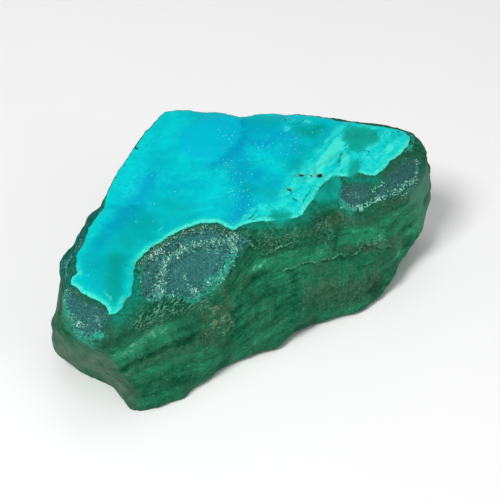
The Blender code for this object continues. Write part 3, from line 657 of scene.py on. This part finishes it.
def relief(points, field):
    """How far each vertex is pushed out along its normal."""
    crust, top, flat = field["on_crust"], field["on_top"], field["underside"]
    push = crust * crust_relief(points, field) + (top - crust) * druse_relief(points, field)
    push += (1 - top) * (1 - flat) * wall_relief(points, field)
    push += (1 - top) * flat * np.minimum(0.12 * bumps(points, 1.2, 9) - 0.2, 0)
    for place, amount in LUMPS:
        push += amount * bell(np.linalg.norm(points - place, axis=1), LUMP_RADIUS)
    return push


def malachite_skin(source):
    """The stone's own mesh with its relief and its fields."""
    mesh = refined_mesh(source)
    mesh.name = "malachite_skin"
    points, normals = read_points(mesh)
    field = regions(points, normals)
    push = relief(points, field)
    # How sunken each place is, for the painted shade there, and how raised, for where splinters gather.
    field["hollow"] = np.clip(-push / DEEP_RELIEF, 0, 1)
    field["raised"] = np.clip(push / DEEP_RELIEF, 0, 1)
    moved = points + normals * push[:, None]
    moved[:, 2] = np.maximum(moved[:, 2], 0)
    mesh.vertices.foreach_set("co", ((moved - MIDDLE) * MM).ravel())
    for name, values in field.items():
        keep_field(mesh, name, values)
    mesh.shade_smooth()
    mesh.update()
    return placed("malachite_skin", mesh)


def srgb(*colour):
    """A colour picked in 0-255 sRGB, as the linear colour that shaders take."""
    values = np.array(colour) / 255
    linear = np.where(values <= 0.04045, values / 12.92, ((values + 0.055) / 1.055) ** 2.4)
    return (*linear.tolist(), 1)


class Value:
    """An output of a node. Arithmetic with it adds the nodes that do the arithmetic."""

    def __init__(self, paint, socket):
        self.paint = paint
        self.socket = socket

    def maths(self, operation, other=0):
        return self.paint.add("Math", {0: self, 1: other}, operation=operation)

    def __rsub__(self, other):
        return self.paint.add("Math", {0: other, 1: self}, operation="SUBTRACT")

    __sub__ = partialmethod(maths, "SUBTRACT")
    __add__ = __radd__ = partialmethod(maths, "ADD")
    __mul__ = __rmul__ = partialmethod(maths, "MULTIPLY")
    __truediv__ = partialmethod(maths, "DIVIDE")
    __abs__ = partialmethod(maths, "ABSOLUTE")

    def centred(self, spread):
        """Noise from 0 to 1 made to swing about 0, from minus to plus half of the spread."""
        return (self - 0.5) * spread

    def step(self, low, high):
        """Goes smoothly from 0 to 1 as the value goes from low to high."""
        limits = {"Value": self, "From Min": low, "From Max": high}
        return self.paint.add("MapRange", limits, interpolation_type="SMOOTHSTEP")


class Paint:
    """Short calls that add nodes to one material and hand back their outputs."""

    def __init__(self, name):
        self.material = bpy.data.materials.new(name)
        self.material.use_nodes = True
        self.tree = self.material.node_tree
        self.shader = self.tree.nodes["Principled BSDF"]
        where = self.add("TexCoord", {}, "Object")
        self.place = self.add("VectorMath", {0: where, "Scale": 1 / MM}, operation="SCALE")

    def fill(self, node, inputs):
        """Fills inputs of a node, by name or number, with other nodes' outputs, numbers or colours."""
        for key, value in inputs.items():
            socket = node.inputs[key]
            if isinstance(value, Value):
                self.tree.links.new(value.socket, socket)
            else:
                socket.default_value = srgb(*value) if socket.type == "RGBA" else value

    def add(self, kind, inputs, output=0, **settings):
        """Adds a node and hands back one of its outputs."""
        node = self.tree.nodes.new("ShaderNode" + kind)
        for name, value in settings.items():
            setattr(node, name, value)
        self.fill(node, inputs)
        return Value(self, node.outputs[output])

    def field(self, name):
        return self.add("Attribute", {}, "Fac", attribute_name=name)

    def noise(self, size, detail, roughness=0.5, distortion=0, where=None):
        """Noise from 0 to 1 with lumps of the given size."""
        inputs = {"Vector": where or self.place, "Scale": 1 / size, "Detail": detail}
        return self.add("TexNoise", {**inputs, "Roughness": roughness, "Distortion": distortion})

    def bedded(self, height, length, thickness):
        """The place with its height replaced and squeezed, so that noise lies in beds."""
        parts = self.tree.nodes.new("ShaderNodeSeparateXYZ")
        self.fill(parts, {0: self.place})
        x, y, _ = (Value(self, output) for output in parts.outputs)
        return self.add("CombineXYZ", {0: x / length, 1: y / length, 2: height / thickness})

    def along(self, bearing, length, width):
        """The place turned to a bearing in plan and squeezed, so that noise runs in streaks that way."""
        turned = self.add("VectorRotate", {"Vector": self.place, "Angle": -bearing}, rotation_type="Z_AXIS")
        return self.add("VectorMath", {0: turned, 1: (length, width, width)}, operation="DIVIDE")

    def mix(self, share, first, second):
        return self.add("Mix", {0: share, 6: first, 7: second}, 2, data_type="RGBA")

    def layers(self, colour, *coats):
        """Coats laid over a colour, one after another: each is (how much it covers, colour)."""
        for share, coat in coats:
            colour = self.mix(share, colour, coat)
        return colour

    def ramp(self, value, *stops):
        """Colours along a value: (place from 0 to 1, red, green, blue)."""
        node = self.tree.nodes.new("ShaderNodeValToRGB")
        self.fill(node, {0: value})
        elements = node.color_ramp.elements
        elements[0].position, elements[1].position = stops[0][0], stops[-1][0]
        for place, *_ in stops[1:-1]:
            elements.new(place)
        for element, (_, *colour) in zip(elements, stops):
            element.color = srgb(*colour)
        return Value(self, node.outputs[0])


def crust_colour(paint):
    """The blue-green gel crust: soft clouds, a bluer dome, deeper creases, a mint rim, chalk and cracks, with
    painted shade along its steps, in its cracks and inside its pits.
    """
    field, noise = paint.field, paint.noise
    wide = noise(5, 3, 0.6, 0.6)
    cloud = noise(2.2, 5, 0.65, 1)
    patch = noise(4, 4, 0.6, 0.5)
    fine = noise(0.9, 4, 0.65)
    dust = noise(0.35, 3, 0.8)
    feather = noise(1, 5, 0.6, 1, paint.along(CHALK_GRAIN, 6, 1.8))
    chalk = (field("chalk") + feather.centred(2.4)).step(0.35, 0.9) * (0.85 - field("teal") * 0.6)
    chalky = paint.ramp(
        feather * 0.55 + patch * 0.45,
        (0.34, 0, 164, 156), (0.42, 0, 192, 188), (0.49, 2, 208, 202), (0.56, 46, 220, 204),
        (0.62, 24, 204, 188), (0.7, 2, 188, 176),
    )
    mint = (field("mint") + feather.centred(2)).step(0.3, 0.75)
    edge = field("crust_edge") + fine.centred(1.4)
    bright_rim = field("front") * (1 - field("plain_rim"))
    rim = edge.step(-2, -0.5) * (0.3 + bright_rim * 0.7)
    flour = edge.step(-1.1, -0.4) * bright_rim * fine.step(0.35, 0.55)
    # Cracks and pits are painted dark inside as painted shade.
    crack = (field("crack_line") + fine.centred(0.3)).step(0.22, 0.06)
    hole = field("pit_edge") + fine.centred(0.5)
    return paint.layers(
        paint.mix(wide.step(0.35, 0.7), (0, 180, 192), (0, 197, 204)),
        (field("deep_blue") * (1.3 - field("dome") * 1.3), (0, 156, 189)),
        (field("bright_cyan") * fine.step(0.3, 0.62), (4, 212, 214)),
        (cloud.step(0.5, 0.72) * 0.45, (8, 212, 212)),
        (field("teal"), (0, 156, 148)),
        (field("dome") * 0.75, (0, 180, 206)),
        (chalk, chalky),
        (dust.step(0.5, 0.75) * field("chalk") * 0.6, (96, 232, 216)),
        (mint * 0.8, (72, 226, 208)),
        (rim * 0.9, (14, 208, 194)),
        (flour * 0.8, (84, 226, 206)),
        # Painted shade along the steps, in the cracks and inside the pits, and a pale ring round each pit.
        (field("step") * 0.35, (0, 136, 124)),
        (crack * 0.8, (10, 96, 84)),
        (hole.step(0.45, 0.15) * 0.35, (110, 186, 168)),
        (hole.step(0.12, -0.06), (48, 74, 66)),
        (hole.step(-0.05, -0.25), (22, 30, 28)),
    )


def shelf_colour(paint, smear):
    """The bare rock around the druse, with its teal and slate shelves."""
    field, mix = paint.field, paint.mix
    bare = paint.ramp(
        smear * 0.5 + paint.noise(1.6, 6, 0.7) * 0.5,
        (0.34, 4, 56, 40), (0.46, 18, 86, 62), (0.56, 36, 108, 80), (0.68, 72, 146, 118),
    )
    fibre = paint.noise(1, 4, 0.7, where=paint.along(SHELF_GRAIN, 2.6, 0.4))
    teal = mix(smear.step(0.4, 0.6), (6, 112, 90), (20, 138, 114))
    slaty = mix(fibre.step(0.35, 0.65), (0, 62, 60), (40, 110, 104))
    streak = (field("shelf_streak") + fibre.centred(2.4)).step(0.6, 0.9)
    return paint.layers(
        bare,
        (field("dim") * 0.5, (44, 86, 70)),
        (field("shelf") * 0.9, mix(field("slate_shelf") * 0.9, teal, slaty)),
        (streak * 0.7, (96, 160, 150)),
    )


def druse_colour(paint):
    """Slate-grey druse with mint seams and a green-brown border, and the bare rock around it."""
    field, mix = paint.field, paint.mix
    grain = paint.noise(0.4, 4, 0.8)
    smear = paint.noise(0.8, 5, 0.75, 1.2)
    slate = paint.ramp(
        grain + smear.centred(0.6),
        (0.3, 28, 88, 84), (0.45, 48, 116, 112), (0.6, 64, 138, 132), (0.78, 126, 198, 184),
    )
    smooth = mix(smear.step(0.35, 0.65), (42, 98, 95), (63, 125, 120))
    coarse = grain.step(0.35, 0.65)
    grey, olive = mix(coarse, (30, 80, 80), (64, 116, 114)), mix(coarse, (38, 78, 72), (60, 100, 92))
    seam = (field("seam") + grain.centred(2)).step(0.45, 0.9)
    lobe_edge = abs(field("lobe") + smear.centred(0.6)).step(0.4, 0.15)
    border = (field("crust_edge") + smear.centred(0.8)).step(1.6, 1) * (0.85 - field("dim") * 0.6)
    green_brown = paint.ramp(
        grain, (0.32, 8, 60, 44), (0.5, 34, 100, 76), (0.6, 84, 142, 112), (0.7, 164, 184, 150),
    )
    bare = (field("druse_edge") + smear.centred(1.6)).step(-0.25, 0.25)
    mint = (field("mint_border") + smear.centred(2.6)).step(0.45, 0.85)
    return paint.layers(
        slate,
        (field("lobe").step(0.1, -0.4) * 0.75, smooth),
        (field("dim") * 0.8, mix(field("chalk"), grey, olive)),
        (seam * 0.6, mix(grain.step(0.42, 0.58), (24, 92, 84), (96, 190, 170))),
        (lobe_edge * 0.4, (16, 62, 54)),
        (border, green_brown),
        (bare, shelf_colour(paint, smear)),
        (mint * 0.85, mix(grain.step(0.4, 0.6), (22, 136, 106), (54, 176, 150))),
    )


def top_colour(paint):
    """The whole top face: crust or druse, with smooth green windows where the crust has flaked off."""
    crust = paint.field("on_crust").step(0.35, 0.65) * paint.field("nick").step(0.6, 0.4)
    torn = paint.noise(1.2, 5, 0.65, 0.8, paint.along(CHALK_GRAIN, 2.4, 1))
    window = (paint.field("window_edge") + torn.centred(2.6)).step(0.6, -0.7)
    green = paint.mix(paint.noise(3, 3), (8, 134, 116), (14, 176, 160))
    return paint.layers(druse_colour(paint), (crust, crust_colour(paint)), (window * 0.92, green))


def wall_colour(paint):
    """Banded malachite: silky green layers, stained and worn in places, with lipped and notched ledges,
    painted shade in sunken places and under each ledge, a painted highlight on each lip and a painted sheen
    on smooth breaks.
    """
    field, noise, mix = paint.field, paint.noise, paint.mix
    layer = field("layer") + noise(6, 3, 0.6).centred(1.2)
    bands = noise(1, 3, where=paint.bedded(layer, 26, 2.2))
    streaks = noise(1, 4, 0.6, where=paint.bedded(layer, 8, 0.55))
    laminae = noise(1, 2, where=paint.bedded(layer, 22, 1.5))
    cloud = noise(3.2, 3, 0.55)
    mottle = noise(1.2, 5, 0.7)
    grain = noise(0.4, 3, 0.8)
    value = bands.centred(0.65) + streaks.centred(0.35) + cloud.centred(0.45) + mottle.centred(0.6)
    value += grain.centred(0.7) + field("bright_green") * 0.3 - field("dark_green") * 0.26
    greens = paint.ramp(
        value + 0.5,
        (0.05, 0, 48, 30), (0.25, 4, 78, 52), (0.45, 28, 102, 73), (0.6, 36, 120, 87), (0.8, 38, 146, 104),
        (1, 110, 192, 156),
    )
    thin = abs(laminae - 0.5).step(0.03, 0.008) * noise(2.6, 3, 0.6).step(0.44, 0.6)
    rusty = noise(4.4, 4, 0.6).step(0.5, 0.7)
    blotch = mottle.centred(1.2) + cloud.centred(1.4)
    brown = (field("brown") + blotch).step(0.2, 0.9)
    earth = paint.ramp(
        grain.centred(0.8) + mottle,
        (0.25, 32, 62, 46), (0.48, 54, 92, 68), (0.66, 76, 114, 89), (0.85, 110, 142, 112),
    )
    tan = (field("tan") + grain.centred(2.4) + blotch).step(0.6, 1.6)
    # Painted sheen on the smooth breaks: a grey-green, and paler at the right end.
    sheen_grey = mix((cloud + mottle.centred(0.5)).step(0.3, 0.7), (56, 94, 76), (98, 120, 105))
    paler = mix(cloud, (58, 126, 104), (88, 154, 130))
    # Painted shade in the notch under each ledge, and a painted highlight along its lip, both broken in
    # places.
    line = field("ledge") + mottle.centred(0.8)
    broken = noise(1.8, 3, 0.6).step(0.42, 0.56)
    below = abs(line + 0.3).step(0.5, 0.1) * field("notch")
    lip_highlight = abs(line - 0.2).step(0.3, 0.05) * field("lip") * grain.step(0.38, 0.58)
    return paint.layers(
        greens,
        (thin * 0.55, (10, 62, 44)),
        (rusty * 0.4, (62, 98, 74)),
        (brown * 0.7, earth),
        (tan * 0.75, (158, 174, 138)),
        (field("smooth_green") * 0.85, (6, 122, 94)),
        # Painted sheen on the smooth breaks, as a grey-green that is paler at the right end.
        (field("smooth_break") * 0.75, mix(field("right_end").step(0.2, 0.8), sheen_grey, paler)),
        # Painted shade in the sunken places of the relief.
        (field("hollow").step(0.3, 1) * 0.5, (6, 50, 34)),
        # Painted shade in the notches and painted highlight on the lips of the ledges.
        (below * broken, (6, 56, 38)),
        (lip_highlight * broken * 0.9, (112, 188, 152)),
    )


def splintered_colour(paint, colour):
    """Short pale fibres over dark green where the rock has splintered."""
    fibres = paint.noise(1, 3, 0.7, where=paint.along(SPLINTER_GRAIN, 1.6, 0.32))
    amount = paint.field("splintered")
    return paint.layers(
        colour,
        (fibres.step(0.52, 0.38) * amount * 0.7, (8, 58, 42)),
        (fibres.step(0.55, 0.64) * amount * 0.85, (128, 196, 168)),
    )


def stone_material():
    """One material for the whole skin, which reads the fields kept on the mesh."""
    paint = Paint("malachite_and_chrysocolla")
    on_top, on_crust = paint.field("on_top"), paint.field("on_crust")
    colour = paint.mix(on_top, wall_colour(paint), top_colour(paint))
    silky = paint.noise(1, 4, 0.7, where=paint.bedded(paint.field("depth"), 3, 0.35))
    grain = paint.noise(0.35, 3, 0.7)
    height = silky * (1 - on_top) + grain * (1 - on_crust) + grain * paint.field("chalk") * 0.5
    paint.fill(paint.shader, {
        "Base Color": splintered_colour(paint, colour),
        "Roughness": 0.55 - on_crust * 0.21,
        "Specular IOR Level": 0.03,
        "Normal": paint.add("Bump", {"Height": height, "Distance": 0.12 * MM, "Strength": 0.8}),
    })
    return paint.material


def crystal_material(name, stops, gloss, clouded):
    """Small crystals: a tint kept on each one, clouded and slightly darker in places."""
    paint = Paint(name)
    colour = paint.mix(paint.noise(0.3, 2) * clouded, paint.ramp(paint.field("tint"), *stops), (30, 84, 76))
    paint.fill(paint.shader, {"Base Color": colour, "Roughness": gloss, "Specular IOR Level": 0.25})
    return paint.material


def floor_material():
    """A pale floor with faint, wide clouds."""
    paint = Paint("pale_floor")
    colour = paint.mix(paint.noise(30, 2), (248.15, 248.15, 248.15), (251.61, 251.61, 251.61))
    paint.fill(paint.shader, {"Base Color": colour, "Roughness": 0.9})
    return paint.material


def strewn(skin, weight, count, seed):
    """Points strewn over the skin by weight: places, outward directions, vertices near them, more chance."""
    mesh = skin.data
    chance = np.random.default_rng(seed)
    mesh.calc_loop_triangles()
    corners = np.empty(len(mesh.loop_triangles) * 3, dtype=np.int32)
    mesh.loop_triangles.foreach_get("vertices", corners)
    corners = corners.reshape(-1, 3)
    points, normals = read_points(mesh)
    a, b, c = points[corners[:, 0]], points[corners[:, 1]], points[corners[:, 2]]
    share = np.linalg.norm(np.cross(b - a, c - a), axis=1) * weight[corners].mean(axis=1)
    chosen = corners[chance.choice(len(corners), size=count, p=share / share.sum())]
    blend = chance.dirichlet((1, 1, 1), count)[..., None]
    places, outward = (points[chosen] * blend).sum(1), (normals[chosen] * blend).sum(1)
    return places, outward, chosen[:, 0], np.random.default_rng(seed + 1)


def crystal_mesh(name, places, axes, lengths, widths, tints):
    """Small pointed prisms with closed bases, joined in one mesh, each with its own tint."""
    axes = axes / np.linalg.norm(axes, axis=1, keepdims=True)
    helper = np.where(np.abs(axes[:, 2:]) < 0.9, [[0.0, 0.0, 1.0]], [[1.0, 0.0, 0.0]])
    across = np.cross(axes, helper)
    across /= np.linalg.norm(across, axis=1, keepdims=True)
    beside = np.cross(axes, across)
    turns = np.arange(CRYSTAL_SIDES)[:, None] * 2 * np.pi / CRYSTAL_SIDES
    spokes = across[:, None] * np.cos(turns) + beside[:, None] * np.sin(turns)
    spokes = spokes * widths[:, None, None] / 2
    base, reach = places[:, None], (lengths[:, None] * axes)[:, None]
    rings = [base - CRYSTAL_ROOT * reach + spokes, base + CRYSTAL_NECK * reach + CRYSTAL_TAPER * spokes]
    corners = np.concatenate([*rings, base + reach], axis=1)
    corners[..., 2] = np.maximum(corners[..., 2], 0)
    tip = 2 * CRYSTAL_SIDES
    pattern = [tuple(range(CRYSTAL_SIDES))[::-1]]
    for i in range(CRYSTAL_SIDES):
        j = (i + 1) % CRYSTAL_SIDES
        pattern += [(i, j, j + CRYSTAL_SIDES, i + CRYSTAL_SIDES), (i + CRYSTAL_SIDES, j + CRYSTAL_SIDES, tip)]
    faces = [tuple(k * (tip + 1) + i for i in face) for k in range(len(places)) for face in pattern]
    mesh = bpy.data.meshes.new(name)
    mesh.from_pydata(((corners.reshape(-1, 3) - MIDDLE) * MM).tolist(), [], faces)
    keep_field(mesh, "tint", np.repeat(tints, tip + 1))
    return placed(name, mesh)


def fields(skin, *names):
    """Fields kept on the skin, read back."""
    found = np.empty((len(names), len(skin.data.vertices)))
    for name, values in zip(names, found):
        skin.data.attributes[name].data.foreach_get("value", values)
    return found


def beside_crust(skin):
    """How surely each vertex lies on the top face outside the crust."""
    on_top, on_crust = fields(skin, "on_top", "on_crust")
    return np.clip(2 * on_top - 1, 0, 1) * (1 - on_crust)


def druse_crystals(skin):
    """The druse: a lawn of grains over the slate patches, paler in the seams and browner beside the crust."""
    seam, white, dim, mint = fields(skin, "seam", "white_grains", "dim", "mint_border")
    crust_edge, druse_edge, lobe = fields(skin, "crust_edge", "druse_edge", "lobe")
    border = smooth_step(-crust_edge, -1.8, -1.2) * (1 - dim)
    smooth = smooth_step(-lobe, -0.2, 0.4)
    weight = beside_crust(skin) * smooth_step(-druse_edge, -0.4, 0.1)
    weight = weight * (0.35 + 1.2 * seam * (1 - 0.6 * dim) + white + 0.7 * border)
    weight *= (1 - 0.68 * smooth) * (1 - 0.8 * mint) * (1 - 0.4 * dim)
    places, outward, near, chance = strewn(skin, weight, DRUSE_COUNT, seed=11)
    seam, white, dim, mint, border, smooth = (each[near] for each in (seam, white, dim, mint, border, smooth))
    axes = outward + 0.8 * chance.normal(size=outward.shape)
    lengths = chance.uniform(0.2, 0.5, DRUSE_COUNT) * (1 + 0.2 * seam - 0.4 * smooth - 0.3 * border)
    lengths *= 1 - 0.55 * dim
    widths = lengths * chance.uniform(0.45, 0.75, DRUSE_COUNT)
    draw = chance.uniform(size=(4, DRUSE_COUNT))
    tints = SLATE_TINT * draw[0] * (1 - 0.5 * dim)
    tints = np.where(draw[1] < 0.9 * border, GREEN_TINT + 0.15 * draw[0] ** 2, tints)
    minted = 0.06 + 0.45 * seam + 0.5 * mint + 0.15 * border - 0.05 * dim - 0.04 * smooth
    tints = np.where(draw[2] < minted, MINT_TINT + 0.2 * draw[0], tints)
    whitened = 0.01 + 0.13 * seam * (1 - 0.3 * dim) + 0.02 * border + 0.5 * white
    tints = np.where(draw[3] < whitened, WHITE_TINT, tints)
    tints = np.where((draw[3] > 0.985) & (border > 0.3), TAN_TINT, tints)
    return crystal_mesh("druse_crystals", places, axes, lengths, widths, tints)


def seam_blades(skin):
    """Longer pale blades that lie flat in the seams and along the edges of the druse."""
    seam, white, dim, mint = fields(skin, "seam", "white_grains", "dim", "mint_border")
    seam = seam + 0.6 * white + 0.2 * mint
    weight = beside_crust(skin) * seam**2 * ((1 - dim) ** 3 + 0.6 * white)
    places, outward, near, chance = strewn(skin, weight, BLADE_COUNT, seed=51)
    axes = np.cross(outward, chance.normal(size=outward.shape)) + 0.06 * outward
    lengths = chance.uniform(0.35, 0.95, BLADE_COUNT) * (1 - 0.6 * dim[near])
    widths = chance.uniform(0.16, 0.3, BLADE_COUNT)
    tints = MINT_TINT + (WHITE_TINT - MINT_TINT) * chance.uniform(0, 0.9, BLADE_COUNT)
    return crystal_mesh("seam_blades", places, axes, lengths, widths, tints)


def crust_sparkles(skin):
    """Tiny clear crystals that catch the light on the blue crust, thickest down its valley."""
    plan = read_points(skin.data)[0][:, :2]
    weight = fields(skin, "on_crust")[0] * (strokes(plan, SPARKLES) + 0.02)
    places, outward, _, chance = strewn(skin, weight, SPARKLE_COUNT, seed=21)
    axes = outward + 0.3 * chance.normal(size=outward.shape)
    lengths = chance.uniform(0.08, 0.15, SPARKLE_COUNT)
    tints = chance.uniform(0, 1, SPARKLE_COUNT)
    return crystal_mesh("crust_sparkles", places, axes, lengths, 1.1 * lengths, tints)


def wall_splinters(skin):
    """Flecks of fibre that lie along the layers of the wall, thickest where it is weathered or raised."""
    on_top, underside, smooth_break = fields(skin, "on_top", "underside", "smooth_break")
    brown, raised, splintered, tan = fields(skin, "brown", "raised", "splintered", "tan")
    worn = 0.25 * brown + 0.5 * raised + 1.6 * splintered + 0.7 * tan
    weight = (1 - on_top) * (1 - underside) * (1 - smooth_break) * (0.04 + worn**2)
    places, outward, near, chance = strewn(skin, weight, SPLINTER_COUNT, seed=41)
    axes = np.cross([0, 0, 1], outward) + 0.3 * chance.normal(size=outward.shape)
    lengths = chance.uniform(0.12, 0.55, SPLINTER_COUNT) * (1 + 0.8 * splintered[near])
    widths = chance.uniform(0.06, 0.16, SPLINTER_COUNT)
    tints = 0.75 * chance.uniform(0, 1, SPLINTER_COUNT) + 0.25 * tan[near]
    return crystal_mesh("wall_splinters", places, axes, lengths, widths, tints)


def aim(thing, place, target):
    """Puts a camera or a light at a place and turns it towards a target."""
    thing.location = place
    thing.rotation_euler = (Vector(target) - Vector(place)).to_track_quat("-Z", "Y").to_euler()


def studio():
    """Camera at the photograph's angle, a pale floor and soft light."""
    scene = bpy.context.scene
    camera = placed("camera", bpy.data.cameras.new("camera"))
    camera.data.lens = LENS
    camera.data.sensor_width = SENSOR_WIDTH
    camera.data.clip_start = NEAREST_SEEN * MM
    target = (CAMERA_TARGET - MIDDLE) * MM
    towards = np.array([0, -math.cos(CAMERA_ELEVATION), math.sin(CAMERA_ELEVATION)])
    aim(camera, target + towards * CAMERA_DISTANCE * MM, target)
    scene.camera = camera

    bpy.ops.mesh.primitive_plane_add(size=FLOOR_SIZE)
    floor = bpy.context.object
    floor.name = "floor"
    floor.data.materials.append(floor_material())

    for name, place, size, power in LIGHTS:
        light = placed(name, bpy.data.lights.new(name, "AREA"))
        light.data.size = size
        light.data.energy = power
        aim(light, place, LIT_PLACE)

    world = bpy.data.worlds.new("studio")
    world.use_nodes = True
    world.node_tree.nodes["Background"].inputs["Color"].default_value = (1, 1, 1, 1)
    world.node_tree.nodes["Background"].inputs["Strength"].default_value = WORLD_LIGHT
    scene.world = world
    scene.view_settings.view_transform = "Standard"


skin = malachite_skin(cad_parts["malachite_stone"])
skin.data.materials.clear()
skin.data.materials.append(stone_material())
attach(skin, "root")
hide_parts("malachite_stone")

for piece, stops, gloss, clouded in (
    (druse_crystals(skin), DRUSE_STOPS, 0.3, 0.3),
    (seam_blades(skin), DRUSE_STOPS, 0.3, 0.3),
    (crust_sparkles(skin), CLEAR_STOPS, 0.15, 0.05),
    (wall_splinters(skin), FIBRE_STOPS, 0.4, 0.3),
):
    piece.data.materials.append(crystal_material(piece.name + "_colour", stops, gloss, clouded))
    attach(piece, "root")

studio()
